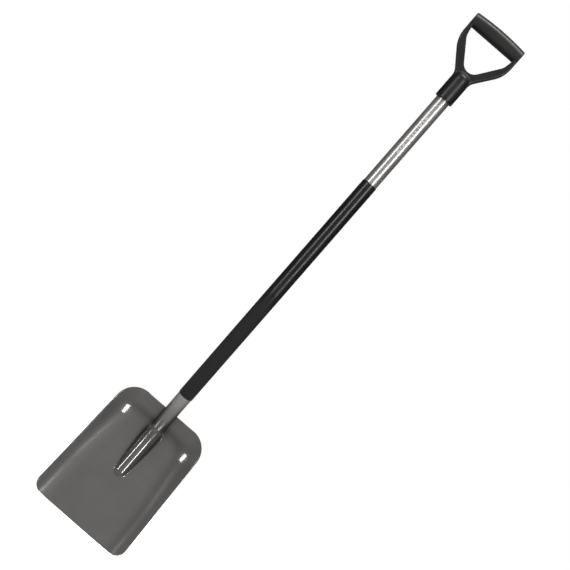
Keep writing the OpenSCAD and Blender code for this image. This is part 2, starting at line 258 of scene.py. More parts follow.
# Stations up the pan in each stretch of the blade's grid, then cells across each stretch
TOE_ROWS, PAN_ROWS, NOSE_ROWS, FROG_ROWS, LIP_ROWS, BACK_ROWS = 14, 26, 22, 44, 8, 34
ARCH_COLS, FILLET_COLS, WING_COLS = 16, 8, 44
HALF_COLS = ARCH_COLS + FILLET_COLS + WING_COLS
WING_BIAS = 1.2             # crowds the wing columns towards the rim
EDGE_ANGLES = (50, 0, -50)  # turns of the three vertices round the sheet's edge, in degrees
EDGE_STEPS = len(EDGE_ANGLES) + 1
EDGE_BULGE = 0.3 * SHEET_T  # how far the rounded edge stands out


def blade_rows():
    """Stations up the pan, closer together where the surface bends; and the mouth's row."""
    nose_end = NOSE_AT - frog_section(NOSE_AT)[2]
    lip_end = MOUTH_AT + LIP_LEN
    toe = TOE_R * (1 - np.cos(np.linspace(0, math.pi / 2, TOE_ROWS, endpoint=False)))
    pan = np.linspace(TOE_R, nose_end, PAN_ROWS, endpoint=False)
    nose = np.linspace(nose_end, NOSE_AT, NOSE_ROWS, endpoint=False)
    frog = np.linspace(NOSE_AT, MOUTH_AT, FROG_ROWS, endpoint=False)
    lip = np.linspace(MOUTH_AT, lip_end, LIP_ROWS, endpoint=False)
    back = mix(lip_end, BLADE_LEN, np.sin(np.linspace(0, math.pi / 2, BACK_ROWS)))
    mouth_row = len(toe) + len(pan) + len(nose) + len(frog)
    return np.concatenate([toe, pan, nose, frog, lip, back]), mouth_row


def column_x(k, section, a):
    r, _, foot, flank = section
    if k < ARCH_COLS:
        return r * math.sin(math.asin(flank / r) * k / ARCH_COLS)
    k -= ARCH_COLS
    if k < FILLET_COLS:
        full = math.asin((foot - flank) / FROG_FILLET_R)
        return foot - FROG_FILLET_R * math.sin(full * (1 - k / FILLET_COLS))
    k -= FILLET_COLS
    return mix(foot, outline_x(a), 1 - (1 - k / WING_COLS) ** WING_BIAS)


def blade_front(rows):
    """Front face of the sheet as a grid of points in the pan's own frame."""
    grid = np.zeros((len(rows), 2 * HALF_COLS + 1, 3))
    for i, a in enumerate(rows):
        section = frog_section(a)
        fade = float(smooth((a - MOUTH_AT) / LIP_LEN))
        for k in range(HALF_COLS + 1):
            x = column_x(k, section, a)
            to_foot = min(1.0, max(0.0, (section[2] - x) / (section[2] - section[3])))
            shifted = x - (section[3] - NOTCH_X) * fade * to_foot
            h = frog_height(x, a, section) * (1 - fade) + rim_height(shifted, a)
            grid[i, HALF_COLS + k] = (shifted, -h, a)
            grid[i, HALF_COLS - k] = (-shifted, -h, a)
    return grid


def blade_normals(grid, mouth_row):
    rows, cols, _ = grid.shape
    normals = np.zeros_like(grid)
    for i in range(rows):
        for c in range(cols):
            j = c - HALF_COLS
            in_arch = abs(j) < ARCH_COLS
            left, right = max(c - 1, 0), min(c + 1, cols - 1)
            if i > mouth_row and abs(j) == ARCH_COLS:
                left, right = (c, right) if j > 0 else (left, c)
            low, high = max(i - 1, 0), min(i + 1, rows - 1)
            if i == mouth_row and in_arch:
                high = i
            n = np.cross(grid[i, right] - grid[i, left], grid[high, c] - grid[low, c])
            normals[i, c] = n / np.linalg.norm(n)
    return normals


def blade_mesh():
    """The sheet, and how many of its last faces make up its thin edge, the slot's too."""
    rows, mouth_row = blade_rows()
    front = blade_front(rows)
    normals = blade_normals(front, mouth_row)
    cols = 2 * HALF_COLS + 1
    layer = len(rows) * cols

    def is_cell(i, c):
        in_grid = 0 <= i < len(rows) - 1 and 0 <= c < cols - 1
        in_slot = i >= mouth_row and HALF_COLS - ARCH_COLS <= c < HALF_COLS + ARCH_COLS
        return in_grid and not in_slot

    faces, rim = [], {}
    for i in range(len(rows) - 1):
        for c in range(cols - 1):
            if not is_cell(i, c):
                continue
            p, q = i * cols + c, i * cols + c + 1
            r, s = q + cols, p + cols
            faces += [(p, q, r, s), (p + layer, s + layer, r + layer, q + layer)]
            sides = ((i - 1, c, p, q), (i, c + 1, q, r), (i + 1, c, r, s), (i, c - 1, s, p))
            for ni, nc, start, end in sides:
                if not is_cell(ni, nc):
                    rim[start] = end

    points = np.concatenate([front.reshape(-1, 3), (front - SHEET_T * normals).reshape(-1, 3)])
    verts = points.tolist()
    flat_normals = normals.reshape(-1, 3)

    # The sheet's edge is rounded: more vertices between front and back along the rim
    previous = {end: start for start, end in rim.items()}
    arcs = {}
    for v in rim:
        along = points[rim[v]] - points[previous[v]]
        out = np.cross(along, flat_normals[v])
        out /= np.linalg.norm(out)
        middle = (points[v] + points[v + layer]) / 2
        arcs[v] = [v]
        for angle in EDGE_ANGLES:
            lift = math.sin(math.radians(angle)) * SHEET_T / 2
            push = math.cos(math.radians(angle)) * EDGE_BULGE
            arcs[v].append(len(verts))
            verts.append((middle + lift * flat_normals[v] + push * out).tolist())
        arcs[v].append(v + layer)
    for start, end in rim.items():
        for k in range(EDGE_STEPS):
            faces.append((arcs[end][k], arcs[start][k], arcs[start][k + 1], arcs[end][k + 1]))

    used = sorted({v for face in faces for v in face})
    renumber = {v: n for n, v in enumerate(used)}
    world = [PAN_TO_WORLD @ Vector(verts[v]) for v in used]
    sheet = new_object("blade_sheet", world, [tuple(renumber[v] for v in f) for f in faces])
    return sheet, EDGE_STEPS * len(rim)


# ---- Shaft line ----

# The frog's crown sinks towards its nose, and the tube's lower end leans with it
SINK = math.atan((MOUTH_CROWN_H - NOSE_H) / (MOUTH_AT - NOSE_AT))
FROG_LEAN = PAN_TILT - SINK
MOUTH = pan_to_world(0, MOUTH_AT, MOUTH_AXIS_H)


def direction(lean):
    return Vector((0, math.sin(lean), math.cos(lean)))


def sideways(lean):
    return Vector((0, math.cos(lean), -math.sin(lean)))


NECK_CORNER = MOUTH + NECK_LEAD * direction(FROG_LEAN)
SHAFT_LEAN = math.atan(NECK_CORNER.y / (CRANK_Z - NECK_CORNER.z))
NECK_R = (NECK_LEAD - NECK_STRAIGHT) / math.tan((SHAFT_LEAN + FROG_LEAN) / 2)
NECK_CENTRE = MOUTH + NECK_STRAIGHT * direction(FROG_LEAN) - NECK_R * sideways(FROG_LEAN)
NECK_TOP = NECK_CENTRE + NECK_R * sideways(-SHAFT_LEAN)
CRANK_TANGENT = CRANK_R * math.tan(SHAFT_LEAN / 2)
CRANK_CENTRE = Vector((0, CRANK_R, CRANK_Z + CRANK_TANGENT))
CRANK_LOW = CRANK_CENTRE - CRANK_R * sideways(-SHAFT_LEAN)

NECK_END_S = NECK_STRAIGHT + NECK_R * (SHAFT_LEAN + FROG_LEAN)
LEAN_END_S = NECK_END_S + (CRANK_LOW - NECK_TOP).length
CRANK_END_S = LEAN_END_S + CRANK_R * SHAFT_LEAN


def shaft_at(s):
    """Centre and lean of the shaft line, `s` above the frog's mouth along it."""
    s = float(s)
    if s <= NECK_STRAIGHT:
        return MOUTH + s * direction(FROG_LEAN), FROG_LEAN
    if s <= NECK_END_S:
        lean = FROG_LEAN - (s - NECK_STRAIGHT) / NECK_R
        return NECK_CENTRE + NECK_R * sideways(lean), lean
    if s <= LEAN_END_S:
        return NECK_TOP + (s - NECK_END_S) * direction(-SHAFT_LEAN), -SHAFT_LEAN
    if s <= CRANK_END_S:
        lean = -SHAFT_LEAN + (s - LEAN_END_S) / CRANK_R
        return CRANK_CENTRE - CRANK_R * sideways(lean), lean
    return Vector((0, 0, CRANK_CENTRE.z + s - CRANK_END_S)), 0.0


LINE_TOP_S = 2.0            # past the top of the shovel
HALVINGS = 60
BEND_STEP = 4 * MM
STRAIGHT_STEP = 12 * MM
RING_SIDES = 96
ROUNDING_DEG = (0, 22.5, 45, 67.5, 90)
ACROSS = Vector((1, 0, 0))


def s_at_height(z):
    """Distance along the shaft line of the point at height z."""
    low, high = -TUBE_DEPTH, LINE_TOP_S
    for _ in range(HALVINGS):
        middle = (low + high) / 2
        low, high = (middle, high) if shaft_at(middle)[0].z < z else (low, middle)
    return low


def bend_stations(start, end):
    """Stations between two points of the shaft line, closer together in its bends."""
    knots = [start, end]
    for first, last in ((NECK_STRAIGHT, NECK_END_S), (LEAN_END_S, CRANK_END_S)):
        count = max(2, int((last - first) / BEND_STEP))
        knots += [s for s in np.linspace(first, last, count) if start < s < end]
    straight = np.arange(start, end, STRAIGHT_STEP)
    return sorted(set(knots) | {float(s) for s in straight})


def swept_ring(name, profile):
    """A closed ring-like solid: `profile` lists (s, radius) round its section."""
    verts, faces = [], []
    for s, r in profile:
        centre, lean = shaft_at(s)
        side = sideways(lean)
        for k in range(RING_SIDES):
            angle = 2 * math.pi * k / RING_SIDES
            verts.append(centre + r * (math.cos(angle) * ACROSS + math.sin(angle) * side))
    for i in range(len(profile)):
        following = (i + 1) % len(profile)
        faces += closed_loop_faces(i * RING_SIDES, following * RING_SIDES, RING_SIDES)
    return new_object(name, verts, faces)


def tube_profile(start, end, outer, inner, edge):
    """Section of a tube from `start` to `end`, its outer ends rounded by `edge`."""
    turns = [math.radians(d) for d in ROUNDING_DEG]
    low = [(start + edge * (1 - math.sin(t)), outer - edge * (1 - math.cos(t))) for t in turns]
    high = [(end - edge * (1 - math.sin(t)), outer - edge * (1 - math.cos(t))) for t in turns]
    middle = [(s, outer) for s in bend_stations(start + edge, end - edge)[1:-1]]
    outside = low[::-1] + middle + high
    inside = [(s, inner) for s in bend_stations(start, end)][::-1]
    return outside + inside


# ---- Welds ----

RAMP_REACH = math.radians(98)   # how far round the tube the ramp runs on each side
RAMP_AROUND, RAMP_ACROSS = 120, 10
RAMP_LEN = 9 * MM
RAMP_UNDERLAP = 1.2 * MM        # how far it starts below the frog's lip
RAMP_LIP_H = MOUTH_CROWN_R - TUBE_R + 0.1 * MM     # a little proud of the frog's lip
RAMP_TOE_SINK = 0.15 * MM       # its outer face ends this far inside the tube
RAMP_BASE_SINK = 0.3 * MM       # its inner face lies this far inside the tube
RAMP_CURVE, RAMP_HUMP = 1.4, 0.35       # hollow and hump of the slope
TAPER_FROM, TAPER_SPAN = 0.86, 0.14     # shares of the reach where the ends get shorter
SWELL_FROM, SWELL_SPAN, SWELL = 0.6, 0.4, 0.25  # where the ramp is thicker, and by how much
RAMP_RIPPLE_H, RAMP_RIPPLE_RATE = 0.09 * MM, 34


def front_weld_mesh():
    """Ramp of weld from the frog's lip down onto the tube, with faint ripples."""
    verts, faces = [], []
    for i in range(RAMP_AROUND + 1):
        phi = mix(-RAMP_REACH, RAMP_REACH, i / RAMP_AROUND)
        share = abs(phi) / RAMP_REACH
        taper = math.sqrt(max(0.0, 1 - max(0.0, (share - TAPER_FROM) / TAPER_SPAN) ** 2))
        swell = 1 + SWELL * max(0.0, share - SWELL_FROM) / SWELL_SPAN
        ripple = RAMP_RIPPLE_H * math.sin(RAMP_RIPPLE_RATE * phi) * (0.5 + 0.5 * share)
        # the ramp leans with the lip's plane, which is square to the pan
        lift = (MOUTH_CROWN_R * math.cos(phi)) * math.tan(SINK)
        for outside in (True, False):
            for j in range(RAMP_ACROSS + 1):
                q = j / RAMP_ACROSS if outside else 1 - j / RAMP_ACROSS
                centre, lean = shaft_at(lift - RAMP_UNDERLAP + q * RAMP_LEN * taper)
                r = TUBE_R - RAMP_BASE_SINK
                if outside:
                    hump = math.sin(math.pi * q)
                    body = RAMP_LIP_H * swell * (1 - q) ** RAMP_CURVE * (1 + RAMP_HUMP * hump)
                    r = TUBE_R - RAMP_TOE_SINK + taper * (body + ripple * hump)
                point = math.sin(phi) * ACROSS - math.cos(phi) * sideways(lean)
                verts.append(centre + r * point)
    ring = 2 * (RAMP_ACROSS + 1)
    for i in range(RAMP_AROUND):
        faces += closed_loop_faces((i + 1) * ring, i * ring, ring)
    faces.append(tuple(range(ring)))
    faces.append(tuple(reversed(range(RAMP_AROUND * ring, (RAMP_AROUND + 1) * ring))))
    obj = new_object("weld_front", verts, faces)
    clean_up(obj)
    return obj


BEAD_R = 3 * MM
BEAD_SIDES, BEAD_RINGS = 28, 110
BEAD_BLUNTNESS = 16             # the higher, the squarer the beads' ends
BEAD_TIP = 0.02                 # least radius at the very ends, as a share
BEAD_RIPPLES = 20
BEAD_RIPPLE, BEAD_TRIM = 0.055, 0.03    # ripple height and the bead's thinning, as shares
BEAD_TRAIL = 0.9 * MM           # how far the ripples' middles run ahead


def bead_centre(a):
    """Where a bead touches both the tube and the back of the frog's fillet, in pan terms."""
    section = frog_section(a)
    tube_c = np.array([0.0, MOUTH_AXIS_H - (MOUTH_AT - a) * math.tan(SINK)])
    flare_c = np.array([section[2], FROG_FILLET_R])
    d = np.linalg.norm(flare_c - tube_c)
    u = (flare_c - tube_c) / d
    to_tube, to_flare = TUBE_R + BEAD_R, FROG_FILLET_R + SHEET_T + BEAD_R
    along = (to_tube ** 2 - to_flare ** 2 + d * d) / (2 * d)
    down = math.sqrt(to_tube ** 2 - along ** 2)
    return tube_c + along * u + down * np.array([u[1], -u[0]])


def rear_weld_mesh():
    """Two rippled beads along the back of the frog."""
    low_a, high_a = MOUTH_AT - TUBE_DEPTH + BEAD_R, MOUTH_AT
    verts, faces = [], []
    for mirror in (1, -1):
        rings = []
        for i in range(BEAD_RINGS + 1):
            rings.append(len(verts))
            t = i / BEAD_RINGS
            a = mix(low_a, high_a, t)
            centre = bead_centre(a)
            end = math.sqrt(max(0.0, 1 - (2 * abs(t - 0.5)) ** BEAD_BLUNTNESS))
            ripple = 1 + BEAD_RIPPLE * abs(math.sin(math.pi * BEAD_RIPPLES * t)) - BEAD_TRIM
            r = BEAD_R * max(end, BEAD_TIP) * ripple
            for k in range(BEAD_SIDES):
                angle = 2 * math.pi * k / BEAD_SIDES
                # crescent ripples: the bead's middle runs ahead of its sides
                trail = BEAD_TRAIL * math.cos(angle + math.pi / 2)
                x, h = centre[0] + r * math.cos(angle), centre[1] + r * math.sin(angle)
                verts.append(pan_to_world(mirror * x, a + trail * end, h))
        for low, high in zip(rings, rings[1:]):
            faces += closed_loop_faces(low, high, BEAD_SIDES)
        for end_ring in (rings[0], rings[-1]):
            faces.append(tuple(range(end_ring, end_ring + BEAD_SIDES)))
    obj = new_object("weld_rear", verts, faces)
    clean_up(obj)
    return obj


# ---- Printed dashes ----

# Plain strokes along the bare tube, as (length, gap to the next) in millimetres
DASHES = ((7, 3), (4, 3), (7, 3), (2, 6), (7, 3), (4, 3), (4, 6), (2, 3), (7, 3), (4, 3), (7, 0))
DASH_LOW_Z = 955 * MM
DASH_HALF_ANGLE = 0.2       # how far a stroke reaches round the tube each way, in radians
INK_T = 0.08 * MM
DASH_COLS = 6


def dashes_mesh():
    """A row of slightly raised strokes of ink on the front of the tube."""
    verts, faces = [], []
    low_z = DASH_LOW_Z
    for length, gap in DASHES:
        first = len(verts)
        for r in (TUBE_R - INK_T, TUBE_R + INK_T):
            for z in (low_z, low_z + length * MM):
                for k in range(DASH_COLS + 1):
                    angle = mix(-DASH_HALF_ANGLE, DASH_HALF_ANGLE, k / DASH_COLS)
                    verts.append((r * math.sin(angle), -r * math.cos(angle), z))
        row = DASH_COLS + 1
        inner, outer = first, first + 2 * row
        for k in range(DASH_COLS):
            faces.append((outer + k, outer + k + 1, outer + row + k + 1, outer + row + k))
            faces.append((inner + k + 1, inner + k, inner + row + k, inner + row + k + 1))
            faces.append((inner + k, inner + k + 1, outer + k + 1, outer + k))
            faces.append(
                (inner + row + k + 1, inner + row + k, outer + row + k, outer + row + k + 1))
        faces.append((inner, outer, outer + row, inner + row))
        last_in, last_out = inner + DASH_COLS, outer + DASH_COLS
        faces.append((last_out, last_in, last_in + row, last_out + row))
        low_z += (length + gap) * MM
    return new_object("printed_dashes", verts, faces)


# ---- Handle ----

HALF_W = (yoke_high[0] - yoke_low[0]) / 2
BAR_TOP_Z = grip_high[2]
BAR_H = grip_high[2] - grip_low[2]
BAR_LOW_Z = grip_low[2]
BAR_DEPTH = grip_high[1] - grip_low[1]
BAR_CROWN = 3.5 * MM        # how much higher the bar's top is in the middle
GRIP_EDGE_R = 2.6 * MM
GRIP_END_STEPS, GRIP_COLS = 7, 60

# Leans in degrees from upright; radii and drops below the crossbar's underside
ARM_LEAN, ARM_OUTER_R, ARM_ROOT_R, ARM_DROP = 36.3, 61 * MM, 24 * MM, 10.5 * MM
OPENING_LEAN, OPENING_SIDE_LEAN = 35.5, 8.5
BOWL_R, BOWL_DROP, ELBOW_R = 22.7 * MM, 50.3 * MM, 28 * MM
OPENING_INSET = 8 * MM      # width of the arm beside the crossbar
ARM_DEPTH = 22 * MM
ARM_EDGE_R = 3.4 * MM
ARM_EDGE_STEPS = 6

SOCKET_R = 19.5 * MM
SOCKET_LOW_Z = yoke_low[2]
SOCKET_BORE_LEN = 50.5 * MM
SOCKET_BORE_R = TUBE_R + 0.2 * MM
SOCKET_CAP = 3 * MM         # material between the bore's end and the dome
SOCKET_TOP_Z = SOCKET_LOW_Z + SOCKET_BORE_LEN + SOCKET_CAP
DOME_H = 14 * MM
DOME_STEP_DEG = 9

VOXEL = 0.8 * MM
BLEND_RISE = 6 * MM         # middle of the blend between arms and socket, over the socket
BLEND_FULL, BLEND_FADE = 10 * MM, 10 * MM
BLEND_ROUNDS, RELAX_ROUNDS = 40, 5


def arc(centre, r, start_deg, end_deg, steps):
    angles = [math.radians(mix(start_deg, end_deg, i / steps)) for i in range(steps + 1)]
    return [np.array(centre) + r * np.array([math.cos(t), math.sin(t)]) for t in angles]


def unit(deg):
    return np.array([math.cos(math.radians(deg)), math.sin(math.radians(deg))])


def yoke_outlines():
    """Front-view outlines of the yoke's arms: the outer edge and the hand opening."""
    lean = math.radians(ARM_LEAN)
    root_x = SOCKET_R + ARM_ROOT_R
    start = np.array([HALF_W - ARM_OUTER_R, BAR_LOW_Z - ARM_DROP])
    reach = math.cos(lean) * (root_x - start[0]) - ARM_OUTER_R - ARM_ROOT_R
    root = np.array([root_x, start[1] + reach / math.sin(lean)])
    outer = [np.array([HALF_W, BAR_LOW_Z + BAR_H / 2])]
    outer += arc(start, ARM_OUTER_R, 0, -ARM_LEAN, 24)
    outer += arc(root, ARM_ROOT_R, 180 - ARM_LEAN, 180, 16)

    # The elbow's arc touches both straight edges of the opening
    arm, side = unit(-OPENING_LEAN), unit(-OPENING_SIDE_LEAN)
    bowl = np.array([0, BAR_LOW_Z - BOWL_DROP])
    corner = np.array([HALF_W - OPENING_INSET, BAR_LOW_Z])
    elbow = np.linalg.solve(
        np.array([arm, side]), [arm @ bowl + BOWL_R - ELBOW_R, side @ corner - ELBOW_R])
    inner = arc(bowl, BOWL_R, -90, -OPENING_LEAN, 22)
    inner += arc(elbow, ELBOW_R, -OPENING_LEAN, -OPENING_SIDE_LEAN, 14)
    rise = np.array([math.tan(math.radians(OPENING_SIDE_LEAN)), 1])
    inner.append(corner + BAR_H / 2 * rise)
    return outer, inner


def mirrored(points):
    left = [np.array([-p[0], p[1]]) for p in reversed(points) if abs(p[0]) > TINY]
    return list(points) + left


def shrunk(loop, distance):
    """The loop moved by `distance` to the left of its own direction."""
    moved = []
    for i, p in enumerate(loop):
        along = loop[(i + 1) % len(loop)] - loop[i - 1]
        along = along / np.linalg.norm(along)
        moved.append(p + distance * np.array([-along[1], along[0]]))
    return moved


def yoke_plate():
    """Both arms as one plate with rounded edges."""
    outer, inner = (mirrored(loop) for loop in yoke_outlines())
    levels = []
    for i in range(ARM_EDGE_STEPS + 1):
        t = math.radians(90 * i / ARM_EDGE_STEPS)
        y = -ARM_DEPTH / 2 + ARM_EDGE_R * (1 - math.sin(t))
        levels.append((y, ARM_EDGE_R * (1 - math.cos(t))))
    levels = levels[::-1] + [(-y, inset) for y, inset in levels]
    work = bmesh.new()
    for loop, sign in ((outer, -1), (inner, 1)):
        rings = []
        for y, inset in levels:
            rings.append([work.verts.new((p[0], y, p[1])) for p in shrunk(loop, sign * inset)])
        for low, high in zip(rings, rings[1:]):
            for k in range(len(loop)):
                n = (k + 1) % len(loop)
                work.faces.new((low[k], low[n], high[n], high[k]))
    for y in (levels[0][0], levels[-1][0]):
        edges = [e for e in work.edges if all(abs(v.co.y - y) < TINY for v in e.verts)]
        bmesh.ops.triangle_fill(work, edges=edges, use_beauty=True)
    bmesh.ops.recalc_face_normals(work, faces=work.faces)
    return mesh_from(work, "plate")


def lathe(profile):
    """A solid turned about the Z axis from (radius, z) pairs that start and end on it."""
    work = bmesh.new()
    rings = []
    for r, z in profile:
        if r < TINY:
            rings.append([work.verts.new((0, 0, z))])
            continue
        angles = [2 * math.pi * k / RING_SIDES for k in range(RING_SIDES)]
        rings.append([work.verts.new((r * math.cos(t), r * math.sin(t), z)) for t in angles])
    for low, high in zip(rings, rings[1:]):
        for k in range(RING_SIDES):
            n = (k + 1) % RING_SIDES
            corners = [
                low[k % len(low)], low[n % len(low)], high[n % len(high)], high[k % len(high)]]
            work.faces.new(list(dict.fromkeys(corners)))
    bmesh.ops.recalc_face_normals(work, faces=work.faces)
    return mesh_from(work, "turned")


def socket_solid():
    """The socket with its blind bore and a domed top."""
    bore_top = SOCKET_LOW_Z + SOCKET_BORE_LEN
    dome = []
    for degrees in range(0, 90, DOME_STEP_DEG):
        t = math.radians(degrees)
        dome.append((SOCKET_R * math.cos(t), SOCKET_TOP_Z + DOME_H * math.sin(t)))
    dome.append((0, SOCKET_TOP_Z + DOME_H))
    bore = [(0, bore_top), (SOCKET_BORE_R, bore_top), (SOCKET_BORE_R, SOCKET_LOW_Z)]
    return lathe(bore + [(SOCKET_R, SOCKET_LOW_Z)] + dome)


def joined(name, meshes):
    work = bmesh.new()
    for mesh in meshes:
        work.from_mesh(mesh)
    return placed(name, mesh_from(work, name))


def yoke_mesh():
    """Arms and socket melted into one moulding, with soft blends where they meet."""
    obj = joined("yoke", [yoke_plate(), socket_solid()])
    remesh = obj.modifiers.new("melt", "REMESH")
    remesh.mode = "VOXEL"
    remesh.voxel_size = VOXEL
    bake(obj)

    # Blend strongly where the arms leave the socket, and only a little elsewhere
    group = obj.vertex_groups.new(name="blend")
    for v in obj.data.vertices:
        away = abs(v.co.z - SOCKET_TOP_Z - BLEND_RISE)
        near_root = 1 - smooth((away - BLEND_FULL) / BLEND_FADE)
        group.add([v.index], float(near_root), "REPLACE")
    for label, rounds, part in (("soften", BLEND_ROUNDS, "blend"), ("relax", RELAX_ROUNDS, "")):
        modifier = obj.modifiers.new(label, "SMOOTH")
        modifier.factor = 0.5
        modifier.iterations = rounds
        modifier.vertex_group = part
    bake(obj)
    obj.vertex_groups.clear()
    return obj


def bar_section(t, round_r, top_z, low_z):
    """Point of the crossbar's rounded section at turn t, as (y, z)."""
    straight = (top_z - low_z) / 2 - round_r
    y, z = round_r * math.cos(t), round_r * math.sin(t)
    z += straight if math.sin(t) >= 0 else -straight
    return y, z + (top_z + low_z) / 2


def grip_mesh():
    """Soft cover of the crossbar: crowned on top, straight below, with rounded ends."""
    angles = [math.pi / 2 * (1 - i / GRIP_END_STEPS) for i in range(GRIP_END_STEPS + 1)]
    ends = [HALF_W - GRIP_EDGE_R * (1 - math.cos(t)) for t in angles]
    insets = [GRIP_EDGE_R * (1 - math.sin(t)) for t in angles]
    right = list(zip(ends, insets))
    full_x = HALF_W - GRIP_EDGE_R
    middle = np.linspace(-full_x, full_x, GRIP_COLS)[1:-1]
    stations = [(-x, inset) for x, inset in right[::-1]] + [(x, 0.0) for x in middle] + right
    verts, faces = [], []
    for x, inset in stations:
        top = BAR_TOP_Z - BAR_CROWN * (x / HALF_W) ** 2 - inset
        for k in range(RING_SIDES):
            t = 2 * math.pi * k / RING_SIDES
            y, z = bar_section(t, BAR_DEPTH / 2 - inset, top, BAR_LOW_Z + inset)
            verts.append((x, y, z))
    last = (len(stations) - 1) * RING_SIDES
    for start in range(0, last, RING_SIDES):
        faces += closed_loop_faces(start + RING_SIDES, start, RING_SIDES)
    faces.append(tuple(range(RING_SIDES)))
    faces.append(tuple(reversed(range(last, last + RING_SIDES))))
    obj = new_object("grip", verts, faces)
    clean_up(obj)
    return obj


# ---- Materials ----

def add_node(tree, kind, **settings):
    """Adds a shader node; a setting is an input by name, or a property with a leading p_."""
    node = tree.nodes.new(kind)
    for name, value in settings.items():
        if name.startswith("p_"):
            setattr(node, name[2:], value)
            continue
        socket = node.inputs[name.replace("_", " ")]
        if isinstance(value, bpy.types.NodeSocket):
            tree.links.new(value, socket)
        else:
            socket.default_value = value
    return node


def new_material(name):
    material = bpy.data.materials.new(name)
    material.use_nodes = True
    tree = material.node_tree
    tree.nodes.clear()
    coords = add_node(tree, "ShaderNodeTexCoord").outputs["Object"]
    return material, tree, coords


def close_material(tree, **inputs):
    shader = add_node(tree, "ShaderNodeBsdfPrincipled", **inputs)
    add_node(tree, "ShaderNodeOutputMaterial", Surface=shader.outputs["BSDF"])


def noise(tree, coords, scale, detail, roughness=0.5):
    return add_node(
        tree, "ShaderNodeTexNoise", Vector=coords, Scale=scale, Detail=detail,
        Roughness=roughness).outputs["Fac"]


def span(tree, value, low, high, from_low=0.3, from_high=0.7):
    """Maps a value to low..high; most noise lies in the default range it maps from."""
    return add_node(
        tree, "ShaderNodeMapRange", Value=value, From_Min=from_low, From_Max=from_high,
        To_Min=low, To_Max=high).outputs["Result"]


def tinted(tree, fac, dark, light):
    """Mixes two fixed colours."""
    mixer = add_node(tree, "ShaderNodeMix", p_data_type="RGBA", Factor=fac)
    mixer.inputs[6].default_value = (*dark, 1)
    mixer.inputs[7].default_value = (*light, 1)
    return mixer.outputs[2]


def bumped(tree, height, distance):
    node = add_node(tree, "ShaderNodeBump", Height=height, Distance=distance, Strength=1.0)
    return node.outputs["Normal"]


def multiplied(tree, value, factor, offset):
    """value * factor + offset, where the offset may be another node's output."""
    node = add_node(tree, "ShaderNodeMath", p_operation="MULTIPLY_ADD")
    for socket, term in zip(node.inputs, (value, factor, offset)):
        if isinstance(term, bpy.types.NodeSocket):
            tree.links.new(term, socket)
        else:
            socket.default_value = term
    return node.outputs[0]


def blended(tree, fac, first, second, mode="MIX"):
    """Mixes a colour output with a fixed colour."""
    mixer = add_node(tree, "ShaderNodeMix", p_data_type="RGBA", p_blend_type=mode, Factor=fac)
    tree.links.new(first, mixer.inputs[6])
    mixer.inputs[7].default_value = (*second, 1)
    return mixer.outputs[2]


def lower_tone_cover(tree, coords, low_z, high_z):
    """How much of the darker lower tone covers the paint: all of it at low_z, thinning out to
    high_z.
    """
    height = add_node(tree, "ShaderNodeSeparateXYZ", Vector=coords).outputs["Z"]
    ragged = multiplied(tree, noise(tree, coords, 90, 4), LOWER_TONE_RAGGED, height)
    return span(tree, ragged, 1, 0, low_z, high_z)


def painted_corner_shade(tree):
    """How much painted shade a point gets: how deep in a corner it lies, from 0 in the open."""
    corner = add_node(
        tree, "ShaderNodeAmbientOcclusion", p_samples=8, Distance=CORNER_REACH).outputs["AO"]
    return span(tree, corner, 1, 0, CORNER_DEEP, CORNER_OPEN)


def dulled_coat(tree, coords, coat, centre, core, edge):
    """Weight of a clear coat that is duller inside `core` and full outside `edge`."""
    away = add_node(tree, "ShaderNodeVectorMath", p_operation="DISTANCE")
    tree.links.new(coords, away.inputs[0])
    away.inputs[1].default_value = centre
    return span(tree, away.outputs["Value"], DULL_COAT * coat, coat, core, edge)


def metal_paint(name, dark, light, metallic, roughness, coat, coat_roughness, lower_tone=None,
                dull_spot=None):
    """Paint with fine flakes, a soft mottle, painted shade in the corners and a rippled clear
    coat.

    `lower_tone` is (colour, low z, high z) of a second colour, full at the low end and thinning
    out upwards.
    `dull_spot` is (centre, core radius, edge radius) of a place with less clear coat.
    """
    material, tree, coords = new_material(name)
    mottle = noise(tree, coords, 14, 4, 0.6)
    flakes = noise(tree, coords, 2200, 1)
    peel = noise(tree, coords, 110, 2)
    shade = add_node(
        tree, "ShaderNodeMix", Factor=FLAKE_SHARE, A=span(tree, mottle, 0, 1),
        B=flakes).outputs[0]
    colour = tinted(tree, shade, dark, light)
    if lower_tone:
        over, low_z, high_z = lower_tone
        colour = blended(tree, lower_tone_cover(tree, coords, low_z, high_z), colour, over)
    # painted shade: the colour darkens in corners, by how closed in the ambient occlusion finds
    # them
    colour = blended(tree, painted_corner_shade(tree), colour, CORNER_SHADE, "MULTIPLY")
    coat_weight = dulled_coat(tree, coords, coat, *dull_spot) if dull_spot else coat
    close_material(
        tree, Base_Color=colour, Metallic=metallic,
        Roughness=span(tree, mottle, roughness - 0.03, roughness + 0.05),
        Normal=bumped(tree, flakes, FLAKE_BUMP), Coat_Weight=coat_weight,
        Coat_Roughness=coat_roughness, Coat_IOR=COAT_IOR,
        Coat_Normal=bumped(tree, peel, PEEL_BUMP))
    return material


def moulded(name, dark, light, roughness, grain_scale, grain_depth, sheen=0.0):
    """Moulded plastic or soft rubber with a fine spark-eroded grain."""
    material, tree, coords = new_material(name)
    cloud = noise(tree, coords, 26, 4, 0.6)
    grain = noise(tree, coords, grain_scale, 4, 0.65)
    close_material(
        tree, Base_Color=tinted(tree, span(tree, cloud, 0, 1), dark, light),
        Roughness=span(tree, cloud, roughness - 0.05, roughness + 0.06),
        Normal=bumped(tree, grain, grain_depth), Sheen_Weight=sheen, Sheen_Roughness=0.4)
    return material


def weld_metal(name):
    """Lumpy painted weld, a little shiny."""
    material, tree, coords = new_material(name)
    lumps = noise(tree, coords, 900, 4)
    close_material(
        tree, Base_Color=tinted(tree, lumps, (0.07, 0.067, 0.063), (0.14, 0.134, 0.126)),
        Metallic=0.2, Roughness=span(tree, lumps, 0.3, 0.45),
        Normal=bumped(tree, lumps, 0.08 * MM), Coat_Weight=0.3, Coat_Roughness=0.25)
    return material


